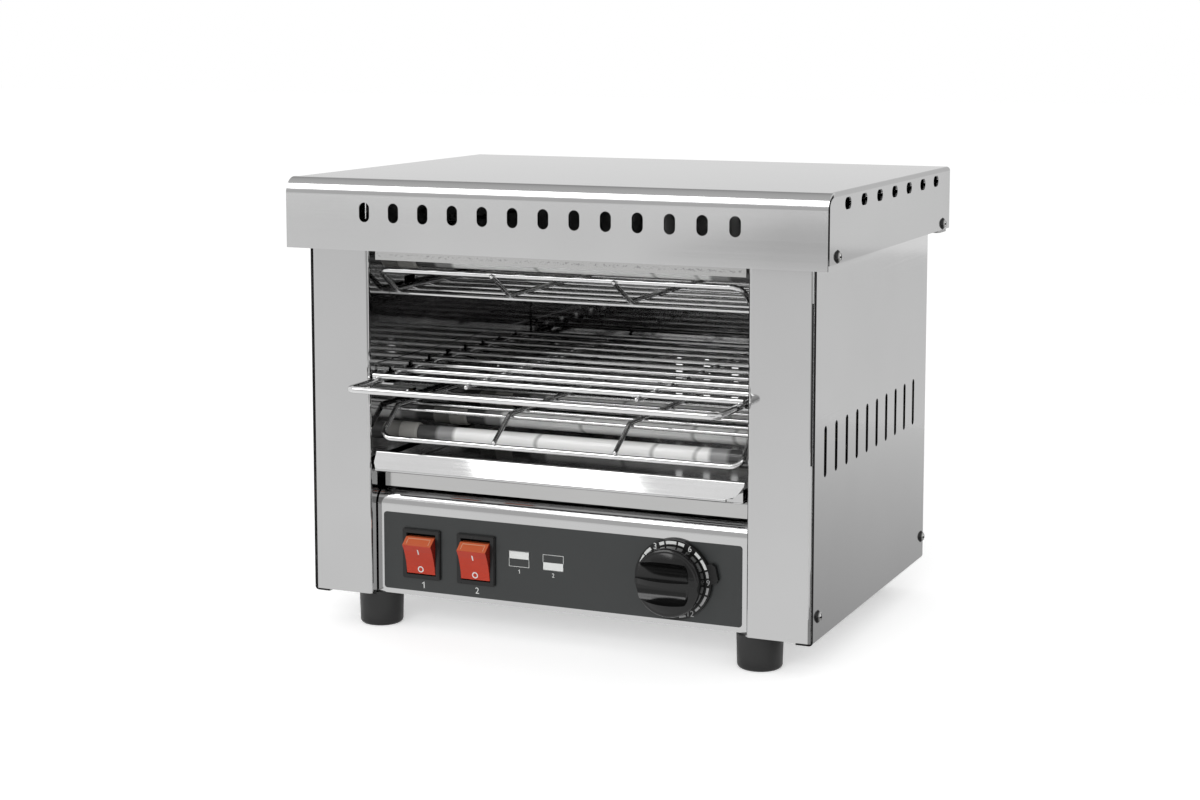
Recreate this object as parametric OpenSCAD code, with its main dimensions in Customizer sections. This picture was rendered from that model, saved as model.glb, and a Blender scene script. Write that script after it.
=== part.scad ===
// Open-front grill toaster with quartz tubes, a sliding wire rack and a crumb tray.
// Millimetres. The frame's origin is on the standing surface, under the middle of the part.
// Construction coordinates, before place(): x = 0 is the middle, y = 0 the front of the
// posts and z = 0 the lower edge of the body; +y runs to the back.

/* [Body] */
// Width over the side panels
body_w = 330; // [310:1:400]
// Depth from the front of the posts to the rear panel
body_d = 235; // [225:1:300]
// Height of the frames, from the lower edge to the underside of the cover
body_h = 259.5; // [250:0.5:320]
// Clear width of the oven opening
opening_w = 248; // [220:1:254]
// Thickness of the steel sheet
sheet = 1; // [0.8:0.1:1.2]
// Centre-line radius of an ordinary bend
bend_r = 2; // [1.5:0.1:3]

/* [Top cover] */
// Overhang of the cover beyond each side panel
cover_side = 10; // [6:0.5:20]
// Overhang of the cover in front of the posts
cover_front = 11; // [8:0.5:20]
// Overhang of the cover behind the rear panel
cover_rear = 16; // [6:0.5:25]
// Radius of the rolled front edge, on the outside
cover_roll = 10; // [5:0.5:14]
// Height of the front skirt, with the roll
skirt_h = 43.5; // [35:0.5:60]
// How much shorter the other skirts are
skirt_step = 3; // [0:0.5:8]
// Width of an oblong vent
vent_w = 7; // [4:0.5:9]
// Length of an oblong vent
vent_l = 12; // [9:0.5:14]
// Number of vents in the front skirt
front_vents = 13; // [5:1:15]
// Distance between the front vents
front_vent_pitch = 20; // [12:0.5:24]
// Number of vents in each side skirt
side_vents = 7; // [3:1:8]
// Distance between the side vents
side_vent_pitch = 31.7; // [16:0.1:34]

/* [Side and rear panels] */
// Width of a cooling slot
slot_w = 5; // [3:0.5:8]
// Height of a cooling slot
slot_l = 30; // [15:1:40]
// Height of the middle of the cooling slots
slot_z = 109.3; // [95:0.1:130]
// Number of slots in each side panel
side_slots = 10; // [4:1:10]
// Number of slots in the rear panel
rear_slots = 6; // [3:1:6]
// Distance between slots
slot_pitch = 20.6; // [10:0.1:21]

/* [Control panel] */
// Height of the control panel
panel_h = 66; // [60:1:75]
// How far the panel sits behind the posts
panel_back = 8; // [5:0.5:12]
// Radius of its rolled top edge, on the outside
panel_roll = 10.5; // [6:0.5:11]
// Height of the label
label_h = 48.6; // [44:0.1:50]
// Thickness of the label
label_t = 0.3; // [0.2:0.1:0.5]
// Height of the middle of the switches
switch_z = 27; // [24:0.5:30]
// Distance of switch 1 from the middle
switch_1_x = 92; // [88:0.5:100]
// Distance of switch 2 from the middle
switch_2_x = 54.3; // [45:0.1:60]
// Width of a switch bezel
bezel_w = 26; // [25:0.5:28]
// Height of a switch bezel
bezel_h = 31.5; // [31:0.5:34]
// How far a rocker tips to each side of its middle, in degrees
rocker_tip = 18; // [8:0.5:20]

/* [Timer] */
// Distance of the timer from the middle
timer_x = 76.5; // [70:0.5:80]
// Height of the timer's axis
timer_z = 28.2; // [27:0.1:29]
// Diameter of the knob
knob_d = 41.5; // [36:0.5:44]
// Diameter of the dial ring
dial_d = 48.4; // [46:0.1:50]
// Diameter of the timer shaft
shaft_d = 6; // [5:0.5:6.5]

/* [Oven] */
// Height of the strip under the crumb tray
strip_h = 10.2; // [8:0.1:14]
// Height of the axes of the lower tubes above the compartment lid
tube_rise = 18.7; // [17:0.1:22]
// Diameter of a quartz tube
tube_d = 11; // [9:0.5:12]
// Distance between neighbouring tubes
tube_pitch = 69; // [60:1:72]
// Distance between the lower tube axes and the flat of their guard
guard_gap = 17.8; // [16:0.1:20]
// Distance between the upper tube axes and the flat of their guard
guard_up_gap = 20.7; // [17:0.1:23]
// Height of the rack wires above the lower guard
rack_rise = 24.8; // [18:0.1:30]
// Distance from the top of the frames down to the reflector over the upper tubes
reflector_drop = 35.5; // [30:0.1:45]
// Diameter of the heavy wires of the guards
guard_wire = 3.4; // [2.8:0.1:3.8]
// Diameter of the light wires of the guards
guard_rod = 2.4; // [2:0.1:2.8]

/* [Rack and tray] */
// Distance between rack wires
rack_pitch = 26; // [20:1:28]
// Number of rack wires
rack_rods = 9; // [4:1:9]
// Diameter of the rack wires
rack_rod = 3.6; // [3:0.1:4]
// Diameter of the rack's frame wire and handle
rack_wire = 4; // [3.5:0.1:4.5]
// Reach of the handle in front of the posts
handle_reach = 35.5; // [25:0.5:60]
// Length of the folded lip of the crumb tray
lip_l = 12; // [10:0.1:20]
lip_ridge = 1.6; // [1.6:0.1:4]
// Height of the front of the crumb tray
tray_front_h = 12.9; // [12:0.1:15]

/* [Feet] */
// Height of a foot
foot_h = 22; // [15:0.5:30]
// Diameter of a foot
foot_d = 28; // [24:0.5:30]
// Distance of the feet from the middle
foot_x = 126.8; // [110:0.1:135]
// Distance of the front feet from the front of the posts
foot_y = 18; // [16:0.5:40]

/* [Hidden] */
$fn = 48;
bend_steps = 8;
roll_steps = 24;
// Clearances: a seam between sheets, a loose seat, a running fit and a screw in its hole
seam = 0.3;
seat = 0.3;
running = 0.05;
screw_play = 0.2;
// A cut runs this far past the faces it opens
past = 1;
// Overlap that joins two wires of one welded piece
weld = 0.2;
weld_swell = 0.04;

half_w = body_w / 2;
side_in = half_w - sheet;
wall_x = opening_w / 2;
cover_z = body_h + sheet;
skirt_z = cover_z - skirt_h;
side_skirt_z = skirt_z + skirt_step;
cover_x = half_w + cover_side;
cover_y0 = -cover_front;
cover_y1 = body_d + cover_rear;
frame_back = body_d - sheet;
post_return = 20;

lid_z0 = panel_h + 0.8;
lid_z = lid_z0 + strip_h;
lid_front = panel_back + 6;
tube_low_z = lid_z + tube_rise;
guard_low_z = tube_low_z + guard_gap;
rack_z = guard_low_z + rack_rise;
reflector_z = body_h - reflector_drop;
reflector_gap = 10.7;
tube_up_z = reflector_z - tube_d / 2 - reflector_gap;
guard_up_z = tube_up_z - guard_up_gap;
header_z0 = tube_up_z + 2.2;
oven_mid_y = (lid_front + body_d) / 2 - 11.5;
tube_ys = [for (i = [-1:1]) oven_mid_y + i * tube_pitch];

// Guards: a sloped front and a flat grid, hooked into slots in the oven walls
guard_front_y = 4.5;
guard_low_drop = 16.9;
guard_up_rise = 14.5;
guard_bend_y = 26;
guard_pitch = 22;
guard_back_y = frame_back - 9;
guard_rods = floor((guard_back_y - guard_bend_y - guard_rod) / guard_pitch) + 1;
guard_side_x = wall_x - 5.5;
guard_inner_x = 40;
guard_sink = 0.5;
hook_ys = [53.5, 186];
hook_slot = [14, 8];

// Rack
rack_side_x = wall_x - 5;
rack_wire_z = rack_z - (rack_rod + rack_wire) / 2 + 0.7;
rack_long_x = 56;
rack_long_d = 3;
rack_long_z = rack_z - (rack_rod + rack_long_d) / 2 + 0.5;
rack_front_y = 1.5;
rack_back_y = rack_front_y + (rack_rods - 1) * rack_pitch;
ledge_top = rack_wire_z - rack_wire / 2 - seat;
runner_y0 = 9;
runner_y1 = frame_back - 9;
runner_top = ledge_top + 11.8;
ledge_w = 11;

// Crumb tray
tray_sheet = 0.8;
tray_z = lid_z + seat;
tray_x = wall_x - 4;
tray_front_y = 5.4;
tray_back_y = frame_back - 12;
tray_side_h = 8;
lip_slope = 62;
lip_x = wall_x - 2.5;
// Corner cuts of the lip, each across and up, at its left and right ends
lip_cut_left = [1.8, 3.2];
lip_cut_right = [6.3, 2.2];
lip_taper = 3.6;
lip_hem = [1.9, 3.6];

// Tube ends
cap_d = tube_d + 2.4;
cap_in = 12.3;
cap_round = 1.4;
cap_out = 9;
cap_socket = 6;
tube_half = wall_x - cap_in + cap_socket;
pin_d = 4;
pin_l = 9;
bus_t = 0.8;
bus_h = 10;

// Control panel parts
panel_x = wall_x - 0.8;
panel_back_face = panel_back + sheet;
label_z0 = 3.1;
label_x = wall_x - 5;
label_y = panel_back - label_t;
bezel_t = 2;
bezel_edge = 0.5;
bezel_face = label_y - bezel_t;
window_w = bezel_w - 5.8;
window_h = bezel_h - 5.4;
housing_l = 24;
pivot_y = bezel_face + 5.6;
rocker_w = window_w - 0.6;
rocker_half = window_h / 2 - 0.65;
timer_front = panel_back_face + sheet;
dial_t = 3;
dial_y = label_y - dial_t;
knob_back = dial_y - seat;
knob_h = 14.5;

screw_d = 3.9;
screw_head = 8;
panel_screw_l = 8;
cover_screw_l = 6;
side_screw_zs = 14.5;
side_screw_ys = [9.2, body_d - 5];
cover_screw_z = skirt_z + 7;
cover_screw_ys = [7, body_d - 0.5];
gland_x = -106;
gland_z = 32;
gland_d = 16;
wire_d = 2.6;
grommet_y = 150;
grommet_z = 34;

bounds_y0 = -handle_reach - rack_wire / 2;
middle_y = (bounds_y0 + cover_y1) / 2;

// ---------- helpers ----------

function unit(v) = v / norm(v);
function left_of(u) = [-u.y, u.x];
function turned(n, a) = [n.x * cos(a) - n.y * sin(a), n.x * sin(a) + n.y * cos(a)];
function turn_angle(u, v) = atan2(u.x * v.y - u.y * v.x, u.x * v.x + u.y * v.y);
function reversed(list) = [for (i = [len(list) - 1:-1:0]) list[i]];

// Points of one face of a bend at q, off to the left of the centre line
function bend_points(p, q, w, r, off) =
    let (u = unit(q - p), v = unit(w - q), a = turn_angle(u, v), way = sign(a), n = left_of(u),
         centre = q - u * r * tan(abs(a) / 2) + n * way * r,
         steps = ceil(abs(a) / 90 * (r > 4 ? roll_steps : bend_steps)))
    [for (k = [0:steps]) centre + turned(n, a * k / steps) * (off - way * r)];

function face_points(path, radii, off) =
    let (last = len(path) - 1)
    concat([path[0] + left_of(unit(path[1] - path[0])) * off],
           [for (i = [1:last - 1])
               each bend_points(path[i - 1], path[i], path[i + 1], radii[i - 1], off)],
           [path[last] + left_of(unit(path[last] - path[last - 1])) * off]);

// Section of a folded sheet along a centre line, with the radius of each bend
module folded(path, radii, t = sheet)
    polygon(concat(face_points(path, radii, t / 2), reversed(face_points(path, radii, -t / 2))));

// A (y, z) section from x0 to x1, an (x, z) section from y0 to y1, a (x, y) one from z0 to z1
module along_x(x0, x1) translate([x0, 0, 0]) rotate([90, 0, 90]) linear_extrude(x1 - x0) children();
module along_y(y0, y1) translate([0, y1, 0]) rotate([90, 0, 0]) linear_extrude(y1 - y0) children();
module along_z(z0, z1) translate([0, 0, z0]) linear_extrude(z1 - z0) children();

module block(low, high) translate(low) cube(high - low);
module both_sides() {
    children();
    mirror([1, 0, 0]) children();
}
module place() translate([0, -middle_y, foot_h]) children();

// An oblong with round ends, upright unless lying is true
module oblong(w, l, lying = false) rotate(lying ? 90 : 0) {
    square([w, l - w], center = true);
    for (s = [-1, 1]) translate([0, s * (l - w) / 2]) circle(d = w);
}

module rod(p, q, d) {
    v = q - p;
    translate(p) rotate([0, acos(v.z / norm(v)), atan2(v.y, v.x)]) cylinder(d = d, h = norm(v));
}

module elbow(p, q, w, r, d) {
    u = unit(q - p);
    v = unit(w - q);
    a = acos(u * v);
    axis = unit(cross(u, v));
    start = q - u * r * tan(a / 2);
    centre = start + cross(axis, u) * r;
    out = unit(start - centre);
    multmatrix([[out.x, u.x, axis.x, centre.x], [out.y, u.y, axis.y, centre.y],
                [out.z, u.z, axis.z, centre.z], [0, 0, 0, 1]])
        rotate_extrude(angle = a) translate([r, 0]) circle(d = d + weld_swell);
}

function setback(path, radii, i) =
    let (u = unit(path[i] - path[i - 1]), v = unit(path[i + 1] - path[i]))
    radii[i - 1] * tan(acos(u * v) / 2);

// A round wire bent along a path, with the radius of each bend
module bent_wire(path, radii, d) {
    last = len(path) - 1;
    for (i = [1:last]) {
        u = unit(path[i] - path[i - 1]);
        from = i == 1 ? 0 : setback(path, radii, i - 1) - weld;
        to = i == last ? 0 : setback(path, radii, i) - weld;
        rod(path[i - 1] + u * from, path[i] - u * to, d);
    }
    for (i = [1:last - 1]) elbow(path[i - 1], path[i], path[i + 1], radii[i - 1], d);
}

// A domed pan head screw that enters along +z at the origin, with its cross recess
module pan_screw(l, d = screw_d, head = screw_head) {
    rise = head * 0.3;
    dome_r = (head * head / 4 + rise * rise) / (2 * rise);
    difference() {
        union() {
            cylinder(d = d, h = l);
            intersection() {
                translate([0, 0, dome_r - rise]) sphere(r = dome_r);
                translate([0, 0, -rise]) cylinder(d = head, h = rise);
            }
        }
        for (a = [0, 90]) rotate(a) translate([0, 0, -rise])
            cube([head * 0.52, head * 0.13, rise * 1.1], center = true);
    }
}
module screw_hole(l, d = screw_d) translate([0, 0, -past]) cylinder(d = d + 2 * screw_play, h = l + past);
module facing_x(x, y, z, way) translate([x, y, z]) rotate([0, 90 * way, 0]) children();

// ---------- body ----------

module base_pan() color("silver") place() difference() {
    union() {
        block([-side_in + 5, panel_back_face, 0], [side_in - 5, frame_back - bend_r, sheet]);
        both_sides() for (y = [[panel_back_face, post_return + past + weld],
                               [frame_back - rear_flange - past - weld, frame_back - bend_r]])
            block([side_in - 6, y[0], 0], [side_in - sheet, y[1], sheet]);
        block([-wall_x, frame_back - bend_r - past, 0], [wall_x, frame_back, sheet]);
        both_sides() block([wall_x, sheet, 0], [side_in - sheet, panel_back_face, sheet]);
        both_sides() along_y(post_return + past, frame_back - rear_flange - past) folded(
            [[side_in - 10, sheet / 2], [side_in - sheet / 2, sheet / 2], [side_in - sheet / 2, 20]],
            [bend_r]);
        block([-wall_x + 2, panel_back_face, 0], [wall_x - 2, panel_back_face + sheet, 5]);
        block([-wall_x + 2, frame_back - sheet, 0], [wall_x - 2, frame_back, 14]);
    }
    for (x = [-1, 1] * foot_x, y = foot_ys) translate([x, y, -past])
        cylinder(d = foot_screw_d + 2 * screw_play, h = sheet + 2 * past);
    for (i = [-3:3]) translate([i * slot_pitch, body_d * 0.55, -past])
        linear_extrude(sheet + 2 * past) oblong(slot_w, slot_l);
}
rear_flange = 16;
foot_screw_d = 4.8;
foot_screw_up = 6;
foot_ys = [foot_y, body_d - foot_y];

// Front post and oven wall, bent from one sheet; the right-hand one
module side_frame() difference() {
    union() {
        along_z(0, body_h) folded(
            [[wall_x + 14, frame_back - sheet / 2], [wall_x + sheet / 2, frame_back - sheet / 2],
             [wall_x + sheet / 2, sheet / 2], [side_in - sheet / 2, sheet / 2],
             [side_in - sheet / 2, post_return]],
            [bend_r, bend_r, bend_r]);
        block([wall_x + sheet / 2, post_return, body_h - sheet], [wall_x + 18, frame_back - 4, body_h]);
    }
    // The pan's floor passes under everything behind the face of the post
    block([wall_x - past, sheet, -past], [half_w, body_d, sheet]);
    for (y = tube_ys, z = [tube_low_z, tube_up_z]) facing_x(wall_x - past, y, z, 1)
        cylinder(d = cap_d + 2 * seat, h = sheet + 2 * past);
    for (y = hook_ys, z = [guard_low_wire_z, guard_up_wire_z])
        block([wall_x - past, y - hook_slot.x / 2, z - guard_wire / 2 - seat],
              [wall_x + sheet + past, y + hook_slot.x / 2, z - guard_wire / 2 - seat + hook_slot.y]);
    facing_x(wall_x - past, grommet_y, grommet_z, 1) cylinder(d = 10, h = sheet + 2 * past);
    for (y = foot_ys) translate([foot_x, y, 0])
        cylinder(d = foot_screw_d + 4 * seat, h = foot_screw_up + 2);
    facing_x(side_in + past, side_screw_ys[0], side_screw_zs, -1) screw_hole(sheet + 2 * past);
    for (z = rear_screw_zs) translate([rear_screw_x, body_d, z]) rotate([90, 0, 0]) screw_hole(4);
}
guard_low_wire_z = guard_low_z + guard_rod / 2 + guard_wire / 2 - guard_sink;
guard_up_wire_z = guard_up_z + guard_rod / 2 + guard_wire / 2 - guard_sink;
rear_screw_x = wall_x + 8;
rear_screw_zs = [48, body_h - 45];

module right_side_frame() color("lightsteelblue") place() side_frame();
module left_side_frame() color("lightsteelblue") place() mirror([1, 0, 0]) side_frame();

panel_top = body_h - 8;
panel_front_y = 0.6;
panel_flange = 10.5;
first_slot_y = (body_d - (side_slots - 1) * slot_pitch) / 2 - 4.8;
module side_panel() difference() {
    along_y(panel_front_y, body_d) folded(
        [[half_w - panel_flange, -seam - sheet / 2], [half_w - sheet / 2, -seam - sheet / 2],
         [half_w - sheet / 2, panel_top]], [bend_r]);
    for (i = [0:side_slots - 1])
        translate([0, first_slot_y + i * slot_pitch, slot_z])
            along_x(side_in - past, half_w + past) oblong(slot_w, slot_l);
    for (y = side_screw_ys) facing_x(half_w, y, side_screw_zs, -1) screw_hole(2 * sheet);
}
module right_side_panel() color("gainsboro") place() side_panel();
module left_side_panel() color("gainsboro") place() mirror([1, 0, 0]) side_panel();

rear_slot_x0 = -slot_pitch / 2;
rear_lift = 1.5;
module rear_panel() color("gainsboro") place() difference() {
    along_z(rear_lift, panel_top) folded(
        [[-side_in + sheet / 2, frame_back - rear_flange], [-side_in + sheet / 2, body_d - sheet / 2],
         [side_in - sheet / 2, body_d - sheet / 2], [side_in - sheet / 2, frame_back - rear_flange]],
        [bend_r, bend_r]);
    for (i = [0:rear_slots - 1])
        translate([rear_slot_x0 + i * slot_pitch, 0, slot_z])
            along_y(frame_back - past, body_d + past) oblong(slot_w, slot_l);
    translate([gland_x, body_d + past, gland_z]) rotate([90, 0, 0])
        cylinder(d = gland_d + 2 * screw_play, h = sheet + 2 * past);
    both_sides() facing_x(half_w, side_screw_ys[1], side_screw_zs, -1) screw_hole(3 * sheet);
    both_sides() for (z = rear_screw_zs) translate([rear_screw_x, body_d, z]) rotate([90, 0, 0])
        screw_hole(4);
    translate([earth_x, body_d, gland_z]) rotate([90, 0, 0]) screw_hole(4);
}
earth_x = gland_x + 34;

// Cover: the roll and front skirt run across; the top and side skirts run front to back
corner_gap = 1.8;
side_skirt_y0 = cover_y0 + sheet + corner_gap;
module top_cover() color("whitesmoke") place() difference() {
    roll = cover_roll - sheet / 2;
    top_y0 = cover_y0 + cover_roll;
    union() {
        along_x(-cover_x, cover_x) folded(
            [[cover_y0 + sheet / 2, skirt_z], [cover_y0 + sheet / 2, cover_z - sheet / 2],
             [top_y0 + 2 * past, cover_z - sheet / 2]], [roll]);
        along_y(top_y0, cover_y1) folded(
            [[-cover_x + sheet / 2, side_skirt_z], [-cover_x + sheet / 2, cover_z - sheet / 2],
             [cover_x - sheet / 2, cover_z - sheet / 2], [cover_x - sheet / 2, side_skirt_z]],
            [bend_r, bend_r]);
        along_y(cover_y1 - sheet, cover_y1) polygon(
            [[-cover_x + sheet, side_skirt_z], [cover_x - sheet, side_skirt_z],
             [cover_x - sheet, cover_z - sheet - bend_r],
             [cover_x - sheet - bend_r, cover_z - sheet / 2],
             [-cover_x + sheet + bend_r, cover_z - sheet / 2],
             [-cover_x + sheet, cover_z - sheet - bend_r]]);
        both_sides() along_x(cover_x - sheet, cover_x) polygon(concat(
            [[top_y0 + past, side_skirt_z], [side_skirt_y0, side_skirt_z]],
            [for (k = [0:roll_steps]) let (a = 180 - 90 * k / roll_steps, r = cover_roll - sheet - corner_gap)
                [top_y0 + r * cos(a), cover_z - cover_roll + r * sin(a)]],
            [[top_y0 + past, cover_z - sheet - corner_gap]]));
    }
    for (i = [0:front_vents - 1])
        translate([(i - (front_vents - 1) / 2) * front_vent_pitch, 0, cover_z - front_vent_drop])
            along_y(cover_y0 - past, cover_y0 + sheet + past) oblong(vent_w, vent_l);
    for (i = [0:side_vents - 1])
        translate([0, side_vent_y0 + i * side_vent_pitch, cover_z - side_vent_drop])
            both_sides() along_x(cover_x - sheet - past, cover_x + past) oblong(vent_w, vent_l, true);
    both_sides() for (y = cover_screw_ys)
        facing_x(cover_x, y, cover_screw_z, -1) screw_hole(sheet + past);
}
side_vent_y0 = (cover_y0 + cover_y1 - (side_vents - 1) * side_vent_pitch) / 2 + 1;
front_vent_drop = 20;
side_vent_drop = 7.5;

// Z-shaped brackets between each side panel and its skirt
module cover_bracket(y, way, low_z) difference() {
    along_z(low_z, cover_screw_z + 6.5) folded(
        [[half_w + sheet / 2, y - 24 * way], [half_w + sheet / 2, y - 4 * way],
         [cover_x - 1.5 * sheet, y - 4 * way], [cover_x - 1.5 * sheet, y + 12 * way]],
        [bend_r * 0.75, bend_r * 0.75]);
    facing_x(cover_x, y, cover_screw_z, -1) screw_hole(3 * sheet);
}
module cover_brackets() color("darkgray") place() both_sides() {
    cover_bracket(cover_screw_ys[0], -1, side_skirt_z + 0.5);
    cover_bracket(cover_screw_ys[1], 1, side_skirt_z - 2);
}

// Reflector over the upper tubes; its front flange is the strip under the cover
reflector_x = wall_x - 2.7;
module upper_reflector() color("ghostwhite") place() {
    along_x(-reflector_x, reflector_x) folded(
        [[guard_front_y + sheet / 2, header_z0], [guard_front_y + sheet / 2, reflector_z],
         [frame_back - seam, reflector_z]], [bend_r]);
    both_sides() along_y(guard_front_y + 12, frame_back - seam) folded(
        [[reflector_x - 3, reflector_z], [wall_x - seam - sheet / 2, reflector_z],
         [wall_x - seam - sheet / 2, reflector_z + 10]], [bend_r]);
}

// Lid of the electrical compartment; its front flange is the strip under the crumb tray
module compartment_lid() color("gainsboro") place() {
    along_x(-wall_x + 3, wall_x - 3) folded(
        [[lid_front + sheet / 2, lid_z0], [lid_front + sheet / 2, lid_z - sheet / 2],
         [frame_back - seam, lid_z - sheet / 2]], [bend_r * 0.75]);
    both_sides() along_y(lid_front + 12, frame_back - seam) folded(
        [[wall_x - 6, lid_z - sheet / 2], [wall_x - seam - sheet / 2, lid_z - sheet / 2],
         [wall_x - seam - sheet / 2, lid_z0]], [bend_r * 0.75]);
}

// ---------- control panel ----------

switch_xs = [-switch_1_x, -switch_2_x];
module control_panel() color("silver") place() difference() {
    union() {
        along_x(-panel_x, panel_x) folded(
            [[panel_back + sheet / 2, 0], [panel_back + sheet / 2, panel_h - sheet / 2],
             [panel_back + 26, panel_h - sheet / 2]], [panel_roll - sheet / 2]);
        both_sides() block([panel_x - sheet, panel_back + sheet / 2, sheet + seam],
                           [panel_x, panel_back + 14, panel_h - panel_roll - past]);
    }
    for (x = switch_xs) translate([x, 0, switch_z]) cut_behind_label(window_w + 1.8, window_h + 1.8);
    translate([timer_x, panel_back - past, timer_z]) rotate([-90, 0, 0])
        cylinder(d = neck_d + 2 * screw_play, h = sheet + 2 * past);
}
module cut_behind_label(w, h)
    block([-w / 2, panel_back - past, -h / 2], [w / 2, panel_back_face + past, h / 2]);
neck_d = 10;

module panel_label() color([0.25, 0.26, 0.26]) place() difference() {
    along_y(label_y, panel_back) translate([0, label_z0 + label_h / 2]) rounded(2 * label_x, label_h, 2);
    for (x = switch_xs) translate([x, 0, switch_z])
        block([-window_w / 2 - 0.9, label_y - past, -window_h / 2 - 0.9],
              [window_w / 2 + 0.9, panel_back + past, window_h / 2 + 0.9]);
    translate([timer_x, label_y - past, timer_z]) rotate([-90, 0, 0])
        cylinder(d = neck_d + 2 * screw_play, h = label_t + 2 * past);
}
module rounded(w, h, r) {
    square([w - 2 * r, h], center = true);
    square([w, h - 2 * r], center = true);
    for (x = [-1, 1], y = [-1, 1]) translate([x * (w / 2 - r), y * (h / 2 - r)]) circle(r = r);
}

// Bezel and housing of a rocker switch, with the well that the rocker tips in
module switch_housing(x) translate([x, 0, switch_z]) difference() {
    union() {
        along_y(bezel_face + bezel_edge, label_y) rounded(bezel_w, bezel_h, 1.2);
        along_y(bezel_face, label_y) rounded(bezel_w - 2 * bezel_edge, bezel_h - 2 * bezel_edge, 0.8);
        block([-window_w / 2 - 0.8, label_y, -window_h / 2 - 0.8],
              [window_w / 2 + 0.8, bezel_face + housing_l, window_h / 2 + 0.8]);
    }
    block([-window_w / 2, bezel_face - past, -window_h / 2],
          [window_w / 2, bezel_face + 14, window_h / 2]);
    facing_x(-window_w / 2 - past, pivot_y, 0, 1) cylinder(d = 3 + 2 * running, h = window_w + 2 * past);
}
module switch_1_housing() color([0.1, 0.1, 0.1]) place() switch_housing(-switch_1_x);
module switch_2_housing() color([0.1, 0.1, 0.1]) place() switch_housing(-switch_2_x);

terminal_l = 8;
module switch_terminals() color("goldenrod") place() for (x = switch_xs, z = [-8, 0, 8], s = [-1, 1])
    translate([x + s * 5, bezel_face + housing_l, switch_z + z])
        block([-0.4, 0, -3.1], [0.4, terminal_l, 3.1]);

// Rocker in its middle position, pivot at the origin: two crests join its face to its end bevels
rocker_crest = 9.1;
module rocker_shape() {
    half = rocker_half;
    face = half - 2.5;
    difference() {
        along_x(-rocker_w / 2, rocker_w / 2) polygon(
            [[-2.6, half], [-rocker_crest, face], [0.9 - rocker_crest, face / 2], [1.1 - rocker_crest, 0],
             [0.9 - rocker_crest, -face / 2], [-rocker_crest, -face], [-2.6, -half],
             [2.5, -half + 2], [4.5, -4], [4.5, 4], [2.5, half - 2]]);
        facing_x(-rocker_w / 2 - past, 0, 0, 1) cylinder(d = 2, h = rocker_w + 2 * past);
    }
    both_sides() facing_x(rocker_w / 2 - 0.5, 0, 0, 1) cylinder(d = 3, h = 1.4);
}
module rocker(x) translate([x, pivot_y, switch_z]) rotate([rocker_tip, 0, 0]) rocker_shape();
module rocker_1() color([0.8, 0.2, 0.15]) place() rocker(-switch_1_x);
module rocker_2() color([0.8, 0.2, 0.15]) place() rocker(-switch_2_x);

// ---------- timer ----------

module on_timer(y) translate([timer_x, y, timer_z]) rotate([-90, 0, 0]) children();
timer_w = 44;
timer_l = 32;
module timer_body() color([0.85, 0.82, 0.72]) place() difference() {
    union() {
        block([timer_x - timer_w / 2, timer_front, timer_z - timer_w / 2],
              [timer_x + timer_w / 2, timer_front + timer_l, timer_z + timer_w / 2]);
        on_timer(dial_y + 1) cylinder(d = neck_d, h = timer_front - dial_y);
    }
    on_timer(dial_y) cylinder(d = shaft_d + 2 * running, h = timer_front - dial_y + 20);
    for (s = [-1, 1]) translate([timer_x + s * 14, timer_front + timer_l + past, timer_z])
        rotate([90, 0, 0]) cylinder(d = 3, h = 4);
}
nut_t = 1.6;
module timer_nut() color("silver") place() on_timer(label_y - nut_t) difference() {
    cylinder(d = 15.5, h = nut_t, $fn = 6);
    translate([0, 0, -past]) cylinder(d = neck_d + 2 * running, h = nut_t + 2 * past);
}
module dial_ring() color([0.06, 0.06, 0.06]) place() on_timer(dial_y) difference() {
    union() {
        cylinder(d = dial_d, h = dial_t);
        rotate(-13) linear_extrude(dial_t) polygon(
            [[dial_d / 2 - 3, -6], [dial_d / 2 + 2.4, -6], [dial_d / 2 + 4.2, -4],
             [dial_d / 2 + 4.2, 4], [dial_d / 2 + 2.4, 6], [dial_d / 2 - 3, 6]]);
    }
    translate([0, 0, -past]) cylinder(d = 20, h = dial_t + 2 * past);
}
module timer_shaft() color("silver") place() on_timer(knob_back - 5) difference() {
    cylinder(d = shaft_d, h = timer_front - knob_back + 20);
    translate([-shaft_d, shaft_d / 2 - 1.2, -past]) cube([2 * shaft_d, shaft_d, 6 + past]);
}
// Domed knob: two finger scoops with a steep inner wall leave a grip bar and a rim at its tip
module timer_knob() color([0.07, 0.07, 0.07]) place() on_timer(knob_back) difference() {
    rotate_extrude() polygon(concat(
        [[0, 0], [knob_d / 2, 0]],
        [for (k = [0:bend_steps]) let (a = 90 * k / bend_steps)
            [knob_d / 2 - knob_edge * (1 - cos(a)), -knob_rim - knob_edge * sin(a)]],
        [for (k = [1:roll_steps]) let (f = 1 - k / roll_steps)
            [(knob_d / 2 - knob_edge) * f, -(knob_rim + knob_edge) - knob_dome * (1 - f * f)]]));
    for (s = [0, 180]) rotate([s, 0, 0]) mirror([0, 0, s / 180]) intersection() {
        translate([scoop_end, grip_w / 2 + scoop_off, scoop_depth - knob_h - scoop_r]) {
            rotate([0, -90, 0]) cylinder(r = scoop_r, h = knob_d);
            scale([scoop_round / scoop_r, 1, 1]) sphere(r = scoop_r);
        }
        translate([-knob_d, grip_w / 2, -knob_h - scoop_r]) cube([2 * knob_d, knob_d, knob_h + scoop_r]);
    }
    translate([0, 0, -knob_bore]) cylinder(d = shaft_d + 2 * running, h = knob_bore + past);
    translate([0, 0, -3]) cylinder(d = neck_d + 8, h = 3 + past);
}
knob_edge = 2.5;
knob_dome = 4.5;
knob_rim = knob_h - knob_edge - knob_dome;
knob_bore = 5.2;
scoop_r = 10;
scoop_off = 2;
scoop_depth = 8.5;
scoop_end = 11;
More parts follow.
